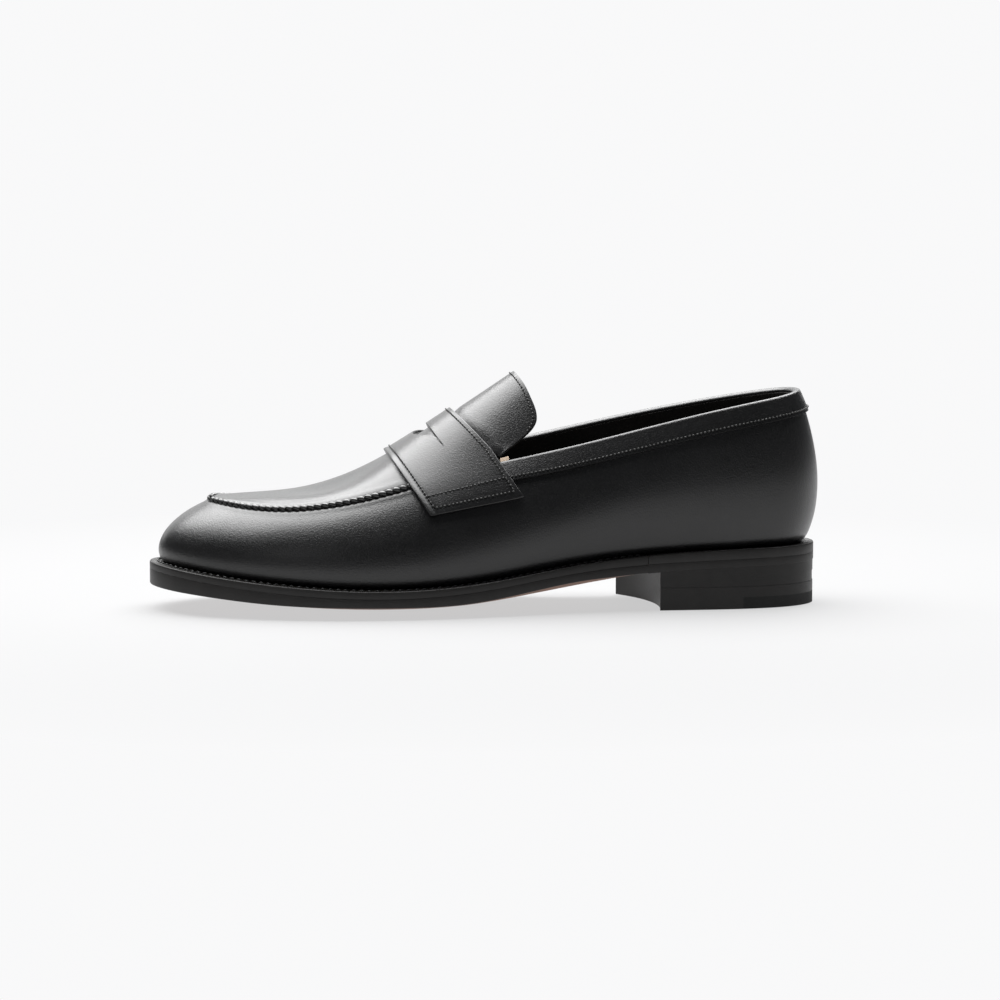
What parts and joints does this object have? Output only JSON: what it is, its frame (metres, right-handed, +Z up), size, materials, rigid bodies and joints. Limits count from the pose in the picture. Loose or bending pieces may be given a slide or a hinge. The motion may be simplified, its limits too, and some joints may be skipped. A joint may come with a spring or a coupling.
{
  "type": "penny loafer",
  "caption": "Left men's slip-on loafer in black calf: apron seam, slotted saddle strap, flexible tongue, padded topline, welted leather sole and stacked heel with rubber tip.",
  "frame": {"origin": "on the ground, under the middle of the shoe's length and width", "axes": "+X from toe to heel, +Z up, -Y towards the outside of the foot"},
  "size_m": [0.2992, 0.102, 0.1042],
  "materials": {
    "upper_calf": "polished black calf, semi-gloss",
    "strap_calf": "polished black calf, semi-gloss",
    "lining_leather": "matte black lining leather",
    "natural_leather": "undyed vegetable-tanned leather",
    "edge_leather": "black edge ink and wax",
    "sole_leather": "oak-bark brown sole leather, black inked edge",
    "heel_leather": "stacked leather, black edge ink",
    "rubber": "matte black rubber",
    "thread": "waxed black thread",
    "canvas": "canvas and stiffener cloth",
    "cork": "cork paste",
    "fibre_board": "leather fibre board",
    "spring_steel": "brushed",
    "brass": "bright"
  },
  "bodies": {
    "root": {"apron": "upper_calf", "apron_lining": "lining_leather", "apron_thread": "thread", "collar_band": "strap_calf", "collar_thread": "thread", "cork_filler": "cork", "heel_counter": "fibre_board", "heel_grip": "lining_leather", "heel_lift_1": "heel_leather", "heel_lift_2": "heel_leather", "heel_lift_3": "heel_leather", "heel_pins": "brass", "heel_rand": "edge_leather", "insole": "natural_leather", "insole_rib": "canvas", "outsole": "sole_leather", "quarter_lining": "lining_leather", "saddle_strap": "strap_calf", "seat_nails": "spring_steel", "shank": "spring_steel", "shank_board": "fibre_board", "side_lining_inner": "canvas", "side_lining_outer": "canvas", "sock_lining": "lining_leather", "strap_backing": "lining_leather", "strap_thread": "thread", "throat_stay_inner": "natural_leather", "throat_stay_outer": "natural_leather", "toe_puff": "canvas", "top_piece_leather": "heel_leather", "top_piece_rubber": "rubber", "vamp_lining": "lining_leather", "vamp_wall": "upper_calf", "welt": "edge_leather", "welt_thread": "thread"},
    "tongue": {"tongue": "strap_calf", "tongue_lining": "lining_leather"}
  },
  "joints": [
    {"name": "tongue_flex", "type": "hinge", "parent": "root", "child": "tongue", "pos_m": [-0.01325, 0.00197, 0.0858], "axis": [0, -1, 0], "range_deg": [-3, 25], "stiffness_Nm_per_rad": 0.2}
  ]
}
